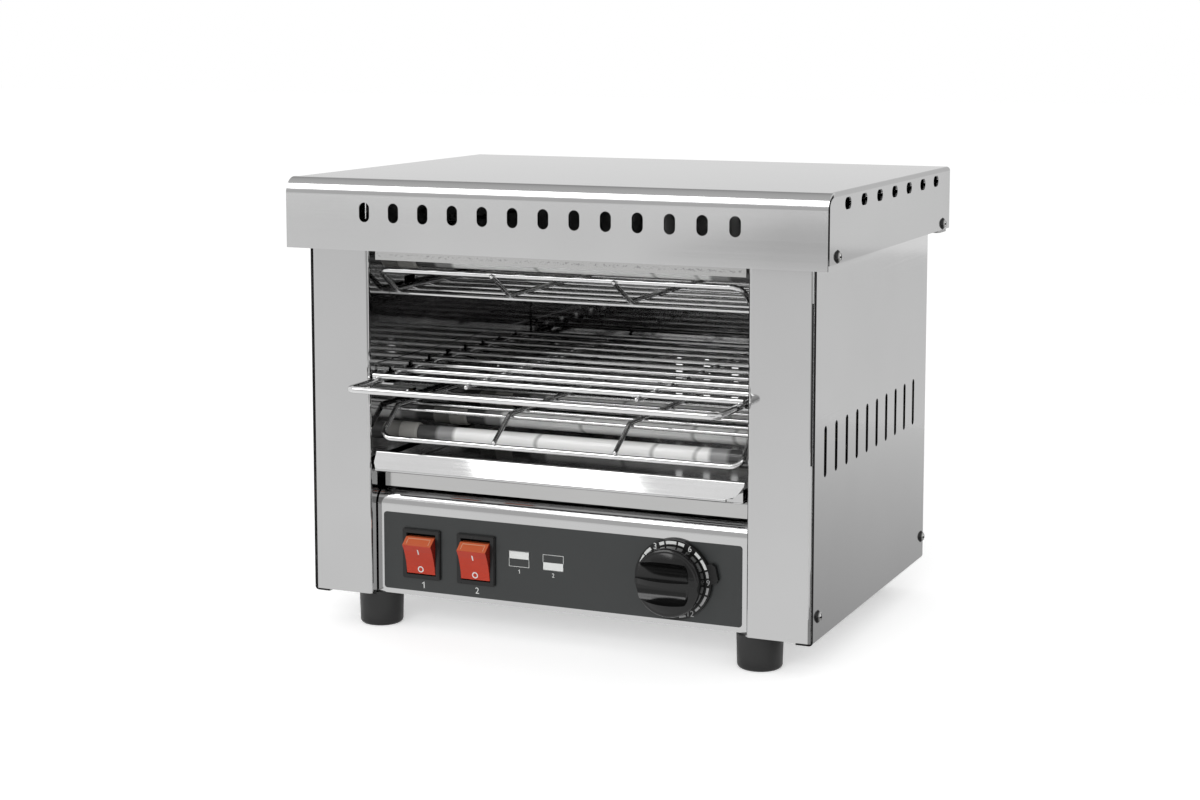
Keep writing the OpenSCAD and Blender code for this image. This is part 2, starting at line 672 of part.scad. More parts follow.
scoop_round = 4;
grip_w = 3.2;

// ---------- oven ----------

// Sloped front and flat grid of a guard; its inner wires end on the outer side of the front bar
module guard(z, wire_z, front_z, end_y, end_z) {
    bent_wire([[-guard_side_x, guard_back_y, wire_z], [-guard_side_x, guard_bend_y, wire_z],
               [-guard_side_x, guard_front_y, front_z], [guard_side_x, guard_front_y, front_z],
               [guard_side_x, guard_bend_y, wire_z], [guard_side_x, guard_back_y, wire_z]],
              [6, 7, 7, 6], guard_wire);
    both_sides() {
        bent_wire([[guard_inner_x, guard_back_y, wire_z], [guard_inner_x, guard_bend_y, wire_z],
                   [guard_inner_x, guard_front_y - end_y, front_z + end_z]], [6], guard_inner);
        translate([guard_inner_x, guard_front_y - end_y, front_z + end_z])
            sphere(d = guard_inner + weld_swell);
    }
    for (i = [0:guard_rods - 1])
        rod([-wall_x + seat, guard_bend_y + 2 + i * guard_pitch, z],
            [wall_x - seat, guard_bend_y + 2 + i * guard_pitch, z], guard_rod);
    both_sides() for (y = hook_ys)
        rod([guard_side_x, y, wire_z], [wall_x + sheet + 2, y, wire_z], guard_wire - 0.2);
}
guard_inner = 2.9;
guard_over = (guard_wire + guard_inner) / 2 - guard_sink;
module lower_guard() color("lightgray") place()
    guard(guard_low_z, guard_low_wire_z, guard_low_wire_z - guard_low_drop, 1, guard_over);
module upper_guard() color("lightgray") place()
    guard(guard_up_z, guard_up_wire_z, guard_up_wire_z + guard_up_rise, 2.9, -0.6);

module runner() along_y(runner_y0, runner_y1) folded(
    [[wall_x - ledge_w - sheet, ledge_top - sheet / 2], [wall_x - sheet / 2, ledge_top - sheet / 2],
     [wall_x - sheet / 2, runner_top]], [bend_r * 0.75]);
module right_rack_runner() color("silver") place() runner();
module left_rack_runner() color("silver") place() mirror([1, 0, 0]) runner();

module quartz_tube(y, z) difference() {
    rod([-tube_half, y, z], [tube_half, y, z], tube_d);
    rod([-tube_half - past, y, z], [tube_half + past, y, z], tube_d - 2.4);
}
module lower_tube_front() color("white") place() quartz_tube(tube_ys[0], tube_low_z);
module lower_tube_middle() color("white") place() quartz_tube(tube_ys[1], tube_low_z);
module lower_tube_rear() color("white") place() quartz_tube(tube_ys[2], tube_low_z);
module upper_tube_front() color("white") place() quartz_tube(tube_ys[0], tube_up_z);
module upper_tube_middle() color("white") place() quartz_tube(tube_ys[1], tube_up_z);
module upper_tube_rear() color("white") place() quartz_tube(tube_ys[2], tube_up_z);

// Ceramic cap: a socket for the tube, a neck through the oven wall and a bore for the pin
module tube_cap(y, z) translate([0, y, z]) difference() {
    union() {
        rod([wall_x - cap_in + cap_round, 0, 0], [wall_x + sheet + cap_out, 0, 0], cap_d);
        translate([wall_x - cap_in, 0, 0]) rotate([0, 90, 0])
            cylinder(d1 = cap_d - cap_round, d2 = cap_d, h = cap_round);
    }
    rod([wall_x - cap_in - past, 0, 0], [tube_half, 0, 0], tube_d + 2 * running);
    rod([tube_half - past, 0, 0], [wall_x + 40, 0, 0], pin_d + 2 * running);
}
module tube_caps(z) both_sides() for (y = tube_ys) tube_cap(y, z);
module lower_tube_caps() color("linen") place() tube_caps(tube_low_z);
module upper_tube_caps() color("linen") place() tube_caps(tube_up_z);

// Close-wound coil with its terminal pins: the outer shape of the winding
coil_d = 5;
cold_end = 20;
pin_x = wall_x + sheet + cap_out + pin_l;
module coils(z) for (y = tube_ys) translate([0, y, z]) {
    rod([-tube_half + cold_end, 0, 0], [tube_half - cold_end, 0, 0], coil_d);
    for (s = [-1, 1]) rod([s * (tube_half - cold_end - weld), 0, 0], [s * pin_x, 0, 0], pin_d);
}
module lower_coils() color("dimgray") place() coils(tube_low_z);
module upper_coils() color("dimgray") place() coils(tube_up_z);

// A strip that joins the three pins on each side
bus_x = wall_x + sheet + cap_out;
module bus_bars(z) both_sides() difference() {
    block([bus_x, tube_ys[0] - 6, z - bus_h / 2], [bus_x + bus_t, tube_ys[2] + 6, z + bus_h / 2]);
    for (y = tube_ys) rod([bus_x - past, y, z], [bus_x + bus_t + past, y, z], pin_d + 2 * screw_play);
}
module lower_bus_bars() color("peru") place() bus_bars(tube_low_z);
module upper_bus_bars() color("peru") place() bus_bars(tube_up_z);

// ---------- supply and wiring ----------

block_y = body_d - 50;
block_size = [36, 18, 16];
module terminal_block() color("ivory") place() translate([gland_x, block_y, sheet]) difference() {
    translate([-block_size.x / 2, 0, 0]) cube(block_size);
    for (i = [-1:1]) translate([i * 11, -past, 8]) rotate([-90, 0, 0])
        cylinder(d = 4.4, h = block_size.y + 2 * past);
    for (i = [-1:1]) translate([i * 11, 4.5, 10]) cylinder(d = 5, h = 10);
}
module cable_gland() color([0.12, 0.12, 0.12]) place() translate([gland_x, body_d, gland_z])
    rotate([-90, 0, 0]) difference() {
        union() {
            translate([0, 0, -9]) cylinder(d = gland_d, h = 9 + past);
            cylinder(d = 24, h = 5, $fn = 6);
            translate([0, 0, 5]) cylinder(d1 = 20, d2 = 15, h = 9);
        }
        translate([0, 0, -10]) cylinder(d = 8, h = 30);
    }
module gland_nut() color([0.12, 0.12, 0.12]) place() translate([gland_x, frame_back, gland_z])
    rotate([90, 0, 0]) difference() {
        cylinder(d = 24, h = 5, $fn = 6);
        translate([0, 0, -past]) cylinder(d = gland_d + 2 * running, h = 5 + 2 * past);
    }
module earth_stud() color("goldenrod") place() translate([earth_x, body_d, gland_z]) rotate([90, 0, 0])
    pan_screw(panel_screw_l + 2);

// Inner wires, each from a bus bar or a terminal down to the block
wire_low = 12;
module side_wire(s, x_in, y_end, z_bus, y_bus, shift) {
    x = bus_x + bus_t;
    bent_wire([[s * x, y_bus, z_bus], [s * (x + 9 + shift), y_bus, z_bus],
               [s * (x + 9 + shift), grommet_y + shift * 0.9, z_bus - 14],
               [s * (x + 9 + shift), grommet_y + shift * 0.9, grommet_z],
               [s * x_in, grommet_y + shift * 0.9, grommet_z],
               [s * x_in, y_end, grommet_z]],
              [3.5, 4, 4, 4, 4], wire_d);
}
module wiring() color("white") place() {
    switch_end = bezel_face + housing_l + terminal_l + seat;
    timer_end = timer_front + timer_l + seat;
    side_wire(-1, switch_1_x + 5, switch_end, tube_up_z, tube_ys[1] + 10, 3);
    side_wire(-1, switch_2_x + 5, switch_end, tube_low_z, tube_ys[1] + 14, -3);
    side_wire(1, timer_x + 14, timer_end, tube_up_z, tube_ys[1] + 10, 3);
    side_wire(1, timer_x + 8, timer_end, tube_low_z, tube_ys[1] + 14, -3);
}

// ---------- feet and fasteners ----------

foot_recess_d = 12;
foot_recess = 9;
foot_taper = 0.5;
foot_edge = 2.6;
module foot(x, y) color([0.08, 0.08, 0.08]) place() translate([x, y, 0]) difference() {
    rotate_extrude() polygon(concat(
        [[0, 0], [foot_d / 2 - 0.6, 0], [foot_d / 2, -1]],
        [for (k = [0:bend_steps]) let (a = 90 * k / bend_steps)
            [foot_d / 2 - foot_taper - foot_edge * (1 - cos(a)), -foot_h + foot_edge * (1 - sin(a))]],
        [[0, -foot_h]]));
    translate([0, 0, -foot_h - past]) cylinder(d = foot_recess_d, h = foot_recess + past);
    translate([0, 0, -foot_h]) cylinder(d = foot_screw_d + 2 * screw_play, h = foot_h + past);
}
module foot_front_left() foot(-foot_x, foot_ys[0]);
module foot_front_right() foot(foot_x, foot_ys[0]);
module foot_rear_left() foot(-foot_x, foot_ys[1]);
module foot_rear_right() foot(foot_x, foot_ys[1]);
module foot_screws() color("silver") place() for (x = [-1, 1] * foot_x, y = foot_ys)
    translate([x, y, -foot_h + foot_recess])
        pan_screw(foot_h - foot_recess + sheet + foot_screw_up, foot_screw_d, 10);

module side_screws() color("silver") place() both_sides() for (y = side_screw_ys)
    facing_x(half_w, y, side_screw_zs, -1) pan_screw(panel_screw_l);
module cover_screws() color("silver") place() both_sides() for (y = cover_screw_ys)
    facing_x(cover_x, y, cover_screw_z, -1) pan_screw(cover_screw_l);
module rear_screws() color("silver") place() both_sides() for (z = rear_screw_zs)
    translate([rear_screw_x, body_d, z]) rotate([90, 0, 0]) pan_screw(panel_screw_l);

// ---------- moving pieces ----------

module toast_rack() color("lightgray") place() {
    bent_wire([[-rack_side_x, rack_back_y + 5, rack_wire_z], [-rack_side_x, -handle_reach, rack_wire_z],
               [rack_side_x, -handle_reach, rack_wire_z], [rack_side_x, rack_back_y + 5, rack_wire_z]],
              [6, 6], rack_wire);
    for (i = [0:rack_rods - 1]) let (y = rack_front_y + i * rack_pitch)
        rod([-rack_side_x - 2.5, y, rack_z], [rack_side_x + 2.5, y, rack_z], rack_rod);
    for (x = [-1, 1] * rack_long_x) {
        rod([x, rack_front_y - 3, rack_long_z], [x, rack_back_y + 3, rack_long_z], rack_long_d);
        translate([x, rack_front_y - 3, rack_long_z]) sphere(d = rack_long_d + weld_swell);
    }
}

module crumb_tray() color("gainsboro") place() {
    t = tray_sheet;
    top_z = tray_z + tray_front_h;
    lip_way = [-cos(lip_slope), -sin(lip_slope)];
    ridge = [tray_front_y + t / 2 - lip_ridge, top_z];
    lip_end = ridge + lip_l * lip_way;
    hem_turn = lip_end - lip_hem[0] * left_of(-lip_way);
    along_x(-tray_x, tray_x) folded(
        [[tray_back_y, tray_z + tray_side_h], [tray_back_y, tray_z + t / 2],
         [tray_front_y + t / 2, tray_z + t / 2], [tray_front_y + t / 2, top_z - 1]],
        [1.2, 1.2], t);
    both_sides() along_y(tray_front_y + t / 2, tray_back_y) folded(
        [[tray_x - 6, tray_z + t / 2], [tray_x - t / 2, tray_z + t / 2],
         [tray_x - t / 2, tray_z + tray_side_h]], [1.2], t);
    intersection() {
        along_x(-lip_x - past, lip_x + past) folded(
            [[tray_front_y + t / 2, top_z - 3], [tray_front_y + t / 2, top_z], ridge,
             lip_end, hem_turn, hem_turn - lip_hem[1] * lip_way], [0.8, 0.8, 0.8, 0.8], t);
        along_y(-50, 50) polygon([
            [-lip_x, top_z + 3], [-lip_x, lip_end.y + lip_hem[0] / 2 + lip_cut_left.y],
            [-lip_x + lip_cut_left.x, lip_end.y + lip_hem[0] / 2],
            [-lip_x + lip_cut_left.x, lip_end.y - 4],
            [lip_x - lip_taper - lip_cut_right.x, lip_end.y - 4],
            [lip_x - lip_taper - lip_cut_right.x, lip_end.y + lip_hem[0] / 2],
            [lip_x - lip_taper, lip_end.y + lip_hem[0] / 2 + lip_cut_right.y],
            [lip_x, top_z - 2], [lip_x, top_z + 3]]);
    }
}

// ---------- one piece at a time ----------

base_pan();
left_side_frame();
right_side_frame();
left_side_panel();
right_side_panel();
rear_panel();
top_cover();
cover_brackets();
upper_reflector();
compartment_lid();
control_panel();
panel_label();
upper_guard();
lower_guard();
left_rack_runner();
right_rack_runner();
lower_tube_front();
lower_tube_middle();
lower_tube_rear();
upper_tube_front();
upper_tube_middle();
upper_tube_rear();
lower_tube_caps();
upper_tube_caps();
lower_coils();
upper_coils();
lower_bus_bars();
upper_bus_bars();
switch_1_housing();
switch_2_housing();
switch_terminals();
timer_body();
timer_nut();
dial_ring();
terminal_block();
wiring();
cable_gland();
gland_nut();
earth_stud();
foot_front_left();
foot_front_right();
foot_rear_left();
foot_rear_right();
foot_screws();
side_screws();
cover_screws();
rear_screws();
toast_rack();
crumb_tray();
timer_knob();
timer_shaft();
rocker_1();
rocker_2();
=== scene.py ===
# Looks of the open-front grill toaster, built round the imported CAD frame.
# Marks are placed in the construction millimetres of the part's source: x = 0 is the middle,
# y = 0 the front of the posts and z = 0 the lower edge of the body; place() turns them into the
# row frame. Camera, floor, lamp and cards are given in the row frame's metres.
import math

import bpy
from mathutils import Matrix, Vector


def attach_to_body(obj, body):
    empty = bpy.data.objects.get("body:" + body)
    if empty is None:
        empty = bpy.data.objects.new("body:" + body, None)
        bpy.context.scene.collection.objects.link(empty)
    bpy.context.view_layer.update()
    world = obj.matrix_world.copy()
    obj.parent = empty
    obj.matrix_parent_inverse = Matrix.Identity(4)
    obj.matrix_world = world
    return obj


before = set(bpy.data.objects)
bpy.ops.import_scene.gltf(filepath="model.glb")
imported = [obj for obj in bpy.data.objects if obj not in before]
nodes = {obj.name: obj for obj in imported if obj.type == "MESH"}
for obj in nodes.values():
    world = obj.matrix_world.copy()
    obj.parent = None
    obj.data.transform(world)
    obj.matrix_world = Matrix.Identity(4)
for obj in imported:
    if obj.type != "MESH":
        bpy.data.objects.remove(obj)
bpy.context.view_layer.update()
scene = bpy.context.scene

MIDDLE_Y = 106.75
FOOT_H = 22.0


def place(x, y, z):
    return Vector((x / 1000, (y - MIDDLE_Y) / 1000, (z + FOOT_H) / 1000))


# ---------------------------------------------------------------- camera
CAMERA_AT = (0.55371, -1.30236, 0.37766)
CAMERA_YAW, CAMERA_PITCH = 0.41157, -0.11503
camera_data = bpy.data.cameras.new("camera")
camera_data.lens = 67.05
camera_data.sensor_width = 36.0
camera_data.shift_y = -0.10
camera = bpy.data.objects.new("camera", camera_data)
scene.collection.objects.link(camera)
camera.matrix_world = (
    Matrix.Translation(CAMERA_AT)
    @ Matrix.Rotation(CAMERA_YAW, 4, "Z")
    @ Matrix.Rotation(CAMERA_PITCH, 4, "X")
    @ Matrix.Rotation(math.radians(90), 4, "X")
)
scene.camera = camera


# ---------------------------------------------------------------- node helpers
class Tree:
    """A material's node tree with one Principled shader"""

    def __init__(self, name):
        self.material = bpy.data.materials.new(name)
        self.material.use_nodes = True
        self.nodes = self.material.node_tree.nodes
        self.links = self.material.node_tree.links
        self.shader = next(n for n in self.nodes if n.type == "BSDF_PRINCIPLED")
        self.output = next(n for n in self.nodes if n.type == "OUTPUT_MATERIAL")
        self.coords = self.nodes.new("ShaderNodeTexCoord")

    def add(self, kind, **settings):
        node = self.nodes.new(kind)
        for key, value in settings.items():
            setattr(node, key, value)
        return node

    def join(self, out, into):
        self.links.new(out, into)

    def set(self, **values):
        for key, value in values.items():
            self.shader.inputs[key.replace("_", " ")].default_value = value

    def split(self, coordinates):
        """X, Y and Z of one output of the texture coordinates"""
        node = self.add("ShaderNodeSeparateXYZ")
        self.join(self.coords.outputs[coordinates], node.inputs["Vector"])
        return node.outputs

    def stretch(self, scale):
        node = self.add("ShaderNodeMapping")
        node.inputs["Scale"].default_value = scale
        self.join(self.coords.outputs["Object"], node.inputs["Vector"])
        return node.outputs["Vector"]

    def noise(self, scale, detail=2.0, rough=0.5, vector=None):
        node = self.add("ShaderNodeTexNoise")
        node.inputs["Scale"].default_value = scale
        node.inputs["Detail"].default_value = detail
        node.inputs["Roughness"].default_value = rough
        self.join(vector or self.coords.outputs["Object"], node.inputs["Vector"])
        return node.outputs["Fac"]

    def spread(self, value, low, high, start=0.3, end=0.7):
        """value from start..end becomes low..high"""
        node = self.add("ShaderNodeMapRange")
        for key, number in (("From Min", start), ("From Max", end),
                            ("To Min", low), ("To Max", high)):
            node.inputs[key].default_value = number
        self.join(value, node.inputs["Value"])
        return node.outputs["Result"]

    def math(self, operation, a, b=0):
        node = self.add("ShaderNodeMath", operation=operation)
        for socket, value in zip(node.inputs, (a, b)):
            if isinstance(value, (int, float)):
                socket.default_value = value
            else:
                self.join(value, socket)
        return node.outputs[0]

    def mix(self, factor, a, b):
        """Colours a and b mixed by a factor socket; each is a colour or a socket"""
        node = self.add("ShaderNodeMix", data_type="RGBA")
        for socket, value in ((node.inputs[0], factor), (node.inputs[6], a), (node.inputs[7], b)):
            if isinstance(value, tuple):
                socket.default_value = (*value, 1)
            else:
                self.join(value, socket)
        return node.outputs[2]

    def bump(self, height, strength, distance, below=None):
        node = self.add("ShaderNodeBump")
        node.inputs["Strength"].default_value = strength
        node.inputs["Distance"].default_value = distance
        self.join(height, node.inputs["Height"])
        if below is not None:
            self.join(below, node.inputs["Normal"])
        return node.outputs["Normal"]

    def driving(self, name):
        """The socket that an input of the shader is joined to"""
        return self.shader.inputs[name].links[0].from_socket

    def colour(self, socket):
        self.join(socket, self.shader.inputs["Base Color"])

    def rough(self, socket):
        self.join(socket, self.shader.inputs["Roughness"])

    def normal(self, socket):
        self.join(socket, self.shader.inputs["Normal"])


# ---------------------------------------------------------------- kinds of material
materials = {}


def kept(name):
    """A new tree, kept in materials under its name"""
    materials[name] = Tree(name)
    return materials[name]


def grey(tone):
    return (tone, tone, tone)


def shade(colour, k):
    return tuple(min(1.0, c * k) for c in colour)


# Noise scale along and across the rolling grain, by the axis that the grain runs along
ALONG, ACROSS = 3, 900
GRAIN = {"x": (ALONG, ACROSS, ACROSS), "y": (ACROSS, ALONG, ACROSS), "z": (ACROSS, ACROSS, ALONG)}


def steel(name, colour, rough, grain="x", spread=0.03, brush=0.05, wave=0.12, smudge=0.03,
          edge=0.62):
    """Stainless sheet: faint rolling grain, a slightly uneven surface and cloudy smudges"""
    t = kept(name)
    t.set(Metallic=1.0, Specular_Tint=(edge, edge, edge, 1))
    cloud = t.noise(9, 3)
    t.colour(t.mix(t.spread(cloud, 0, 1), shade(colour, 1 - smudge), shade(colour, 1 + smudge)))
    lines = t.noise(1, 3, 0.6, t.stretch(GRAIN[grain]))
    t.rough(t.math("ADD", t.spread(lines, -spread, spread),
                   t.spread(cloud, rough * 0.92, rough * 1.08)))
    low = t.bump(t.noise(5, 1), wave, 0.004)
    t.normal(t.bump(lines, brush, 0.00003, low))
    return t


def darken_cut_edges_and_paint_gap_shade(t, facing, until_y=None):
    """Laser-cut edges made dull and dark: faces that look along the facing axis, up to until_y if
    it is given; the dark is partly oxidised cut edge and partly painted shade of the gap beside it
    """
    edge = t.spread(t.math("ABSOLUTE", t.split("Normal")[facing]), 0, 1, 0.90, 0.97)
    if until_y is not None:
        edge = t.math("MULTIPLY", edge, t.math("LESS_THAN", t.split("Object")["Y"], until_y))
    t.colour(t.mix(edge, t.driving("Base Color"), grey(0.02)))
    t.rough(t.math("MAXIMUM", t.driving("Roughness"), t.math("MULTIPLY", edge, 0.6)))


def wire(name, colour, rough):
    """Drawn and polished wire, with faint draw marks and slightly dull spots"""
    t = kept(name)
    t.set(Metallic=1.0)
    t.colour(t.mix(t.spread(t.noise(60, 3), 0, 1), shade(colour, 0.93), shade(colour, 1.04)))
    t.rough(t.spread(t.noise(220, 2), rough * 0.7, rough * 1.3))
    t.normal(t.bump(t.noise(420, 2), 0.06, 0.0002))
    return t


def screw_head_painted_shade(name, axis):
    """Bright zinc with painted shade: the recess and the rim, which look across the screw's axis,
    are painted dark
    """
    t = wire(name, (0.72, 0.72, 0.71), 0.06)
    # Painted shade in the recess and on the rim
    painted_recess_shade = t.spread(t.math("ABSOLUTE", t.split("Normal")[axis]), 1, 0, 0.70, 0.97)
    t.colour(t.mix(painted_recess_shade, t.driving("Base Color"), grey(0.035)))
    return t


def plastic(name, colour, rough, texture=0.05, grain=900, tone=0.05, **more):
    """Moulded or printed surface: soft clouds, uneven gloss and a fine texture"""
    t = kept(name)
    t.set(**more)
    t.colour(t.mix(t.spread(t.noise(25, 3), 0, 1),
                   shade(colour, 1 - tone), shade(colour, 1 + tone)))
    t.rough(t.spread(t.noise(120, 3), rough * 0.88, rough * 1.12))
    t.normal(t.bump(t.noise(grain, 2), texture, 0.0003))
    return t


# ---------------------------------------------------------------- sheet metal and wire
COVER_EDGE_Y = -0.1145
# Cut edges of the cover and side panels: partly oxidised laser cuts, partly painted shade of the
# gaps beside them
darken_cut_edges_and_paint_gap_shade(steel("steel_body", grey(0.53), 0.08, spread=0.012, brush=0.02, wave=0.06,
                       edge=0.66), "X", COVER_EDGE_Y)
darken_cut_edges_and_paint_gap_shade(steel("steel_side", grey(0.58), 0.10, "y", edge=0.8), "Y")
steel("steel_frame", grey(0.48), 0.06, "z", spread=0.01, brush=0.02, wave=0.08)
steel("steel_back", grey(0.46), 0.06, "z", spread=0.01, brush=0.02, wave=0.10)
steel("steel_panel", grey(0.50), 0.08)
steel("steel_pan", grey(0.42), 0.30, smudge=0.06)
steel("steel_runner", grey(0.45), 0.08, "y", spread=0.01)
steel("steel_tray", grey(0.50), 0.09, spread=0.02)
wire("wire_bright", grey(0.62), 0.07)
wire("wire_chrome", grey(0.64), 0.06)
wire("zinc_screw", (0.66, 0.66, 0.65), 0.09)
screw_head_painted_shade("screw_x", "X")
screw_head_painted_shade("screw_y", "Y")
wire("brass_strip", (0.62, 0.50, 0.28), 0.28)
wire("coil_wire", (0.16, 0.15, 0.14), 0.5)

# The strip under the cover is pale sheet with a row of small spiky marks near its top edge, and
# dust dulls the faces that look up
t = steel("steel_reflector", (0.45, 0.45, 0.445), 0.12)
height = t.split("Object")["Z"]
row_bottom = t.spread(height, 0, 1, 0.2335, 0.2350)
row_top = t.spread(height, 1, 0, 0.2356, 0.2364)
specks = t.spread(t.noise(1, 4, 0.7, t.stretch((420, 1, 700))), 0, 1, 0.52, 0.60)
row = t.math("MULTIPLY", t.math("MULTIPLY", row_bottom, row_top), specks)
t.colour(t.mix(row, t.driving("Base Color"), grey(0.30)))
dust = t.spread(t.split("Normal")["Z"], 0, 0.7, 0.85, 0.95)
t.join(t.math("SUBTRACT", 1, dust), t.shader.inputs["Metallic"])

# ---------------------------------------------------------------- plastic, print and ceramic
plastic("label_black", (0.017, 0.019, 0.019), 0.36, 0.04, 2500)
plastic("switch_black", grey(0.010), 0.30, 0.08, Specular_IOR_Level=0.3)
plastic("dial_black", grey(0.006), 0.34, 0.08, Specular_IOR_Level=0.3)
plastic("knob_black", grey(0.005), 0.12, 0.02, tone=0.1, Specular_IOR_Level=0.35)
plastic("gland_black", grey(0.020), 0.42, 0.10)
plastic("foot_rubber", grey(0.010), 0.40, 0.10, 1500, Specular_IOR_Level=0.4)
plastic("timer_case", (0.55, 0.52, 0.45), 0.5, 0.08)
plastic("block_ivory", (0.70, 0.66, 0.54), 0.45, 0.06)
plastic("wire_sleeve", (0.66, 0.64, 0.58), 0.75, 0.5, 2600)
plastic("print_white", (0.62, 0.63, 0.62), 0.45, 0.02, 2500)
plastic("print_grey", grey(0.30), 0.45, 0.02, 2500)
# The tube caps are white steatite; their mid grey is painted shade of the corner by the posts
plastic("ceramic", (0.27, 0.265, 0.25), 0.55, 0.15, 1400)

# Milky quartz tubes, dull and then dark towards both ends; the joints of the coil inside show as
# thin bowed shadows
COIL_JOINTS_X = (-0.0290, 0.0487, 0.0767)
BOW = 0.0022
t = plastic("quartz", (0.96, 0.96, 0.95), 0.10, 0.01, 300, tone=0.02)
along = t.split("Object")["X"]
from_middle = t.math("ABSOLUTE", along)
milky = t.driving("Base Color")
tube = t.mix(t.spread(from_middle, 0, 1, 0.0845, 0.0875), milky, grey(0.30))
tube = t.mix(t.spread(from_middle, 0, 1, 0.0965, 0.0995), tube, grey(0.07))
bow = t.math("MULTIPLY", t.math("POWER", t.split("Normal")["Z"], 2), BOW)
bowed = t.math("SUBTRACT", along, bow)
for joint_x in COIL_JOINTS_X:
    away = t.math("ABSOLUTE", t.math("SUBTRACT", bowed, joint_x))
    tube = t.mix(t.spread(away, 0.5, 0, 0.0004, 0.0022), tube, grey(0.10))
t.colour(tube)

# Red of the rockers with painted light: lighter where it looks up and deeper on its sides, as
# light falls on them
t = plastic("rocker_red", (0.42, 0.034, 0.014), 0.24, 0.03, 700, tone=0.10,
            Specular_IOR_Level=0.25)
facing = t.split("Normal")
painted_top_light = t.spread(facing["Z"], 0, 1, 0.45, 0.8)
painted_side_shade = t.spread(t.math("ABSOLUTE", facing["X"]), 0, 1, 0.4, 0.8)
red = t.mix(painted_top_light, t.driving("Base Color"), (0.50, 0.10, 0.034))
t.colour(t.mix(painted_side_shade, red, (0.20, 0.012, 0.006)))
# Painted highlight for the rims of the rockers
plastic("rocker_rim", (0.52, 0.22, 0.12), 0.3, 0.02, 700)

NODE_MATERIAL = {
    "steel_body": ["top_cover"],
    "steel_side": ["left_side_panel", "right_side_panel"],
    "steel_frame": ["left_side_frame", "right_side_frame"],
    "steel_back": ["rear_panel"],
    "steel_reflector": ["upper_reflector", "compartment_lid"],
    "steel_panel": ["control_panel"],
    "steel_pan": ["base_pan", "cover_brackets"],
    "steel_runner": ["left_rack_runner", "right_rack_runner"],
    "steel_tray": ["crumb_tray"],
    "wire_bright": ["upper_guard", "lower_guard"],
    "wire_chrome": ["toast_rack"],
    "quartz": ["lower_tube_front", "lower_tube_middle", "lower_tube_rear",
               "upper_tube_front", "upper_tube_middle", "upper_tube_rear"],
    "ceramic": ["lower_tube_caps", "upper_tube_caps"],
    "coil_wire": ["lower_coils", "upper_coils"],
    "brass_strip": ["lower_bus_bars", "upper_bus_bars", "switch_terminals", "earth_stud"],
    "label_black": ["panel_label"],
    "switch_black": ["switch_1_housing", "switch_2_housing"],
    "rocker_red": ["rocker_1", "rocker_2"],
    "dial_black": ["dial_ring"],
    "knob_black": ["timer_knob"],
    "timer_case": ["timer_body"],
    "block_ivory": ["terminal_block"],
    "wire_sleeve": ["wiring"],
    "gland_black": ["cable_gland", "gland_nut"],
    "foot_rubber": ["foot_front_left", "foot_front_right", "foot_rear_left", "foot_rear_right"],
    "zinc_screw": ["timer_nut", "timer_shaft", "foot_screws"],
    "screw_x": ["side_screws", "cover_screws"],
    "screw_y": ["rear_screws"],
}
for key, names in NODE_MATERIAL.items():
    for name in names:
        mesh = nodes[name].data
        if not mesh.materials:
            mesh.materials.append(None)
        for i in range(len(mesh.materials)):
            mesh.materials[i] = materials[key].material


# ---------------------------------------------------------------- printed marks
PRINT_T = 0.05
FIGURE_T = 0.04


def attach(name, mesh, key, body):
    """A finished mesh as a piece of its own, which rides on a body and has one material"""
    piece = bpy.data.objects.new(name, mesh)
    scene.collection.objects.link(piece)
    mesh.materials.append(materials[key].material)
    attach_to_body(piece, body)


def make(name, points, faces, key, body):
    mesh = bpy.data.meshes.new(name)
    mesh.from_pydata([tuple(p) for p in points], [], faces)
    mesh.validate()
    attach(name, mesh, key, body)


def plates(name, shapes, face_y, key, slot):
    """Flat outlines in (x, z), each a thin plate on the surface at face_y"""
    points, faces = [], []
    for shape in shapes:
        n, base = len(shape), len(points)
        for y in (face_y - PRINT_T, face_y):
            points += [place(x, y, z) for x, z in shape]
        faces.append(tuple(base + i for i in range(n)))
        faces.append(tuple(base + n + i for i in reversed(range(n))))
        faces += [(base + i, base + n + i, base + n + (i + 1) % n, base + (i + 1) % n)
                  for i in range(n)]
    make(name, points, faces, key, "case")


def band(x, z, w, h):
    return [(x - w / 2, z - h / 2), (x + w / 2, z - h / 2),
            (x + w / 2, z + h / 2), (x - w / 2, z + h / 2)]


def outline(x0, z0, x1, z1, t):
    """The four bars of a thin rectangle"""
    x, z = (x0 + x1) / 2, (z0 + z1) / 2
    return [band(x, z0 + t / 2, x1 - x0, t), band(x, z1 - t / 2, x1 - x0, t),
            band(x0 + t / 2, z, t, z1 - z0 - 2 * t), band(x1 - t / 2, z, t, z1 - z0 - 2 * t)]


def ring(x, z, outer, inner, count=32):
    """A ring as short quads"""
    shapes = []
    for i in range(count):
        a, b = 2 * math.pi * i / count, 2 * math.pi * (i + 1) / count
        shapes.append([(x + r * math.cos(k), z + r * math.sin(k))
                       for r, k in ((inner, a), (outer, a), (outer, b), (inner, b))])
    return shapes


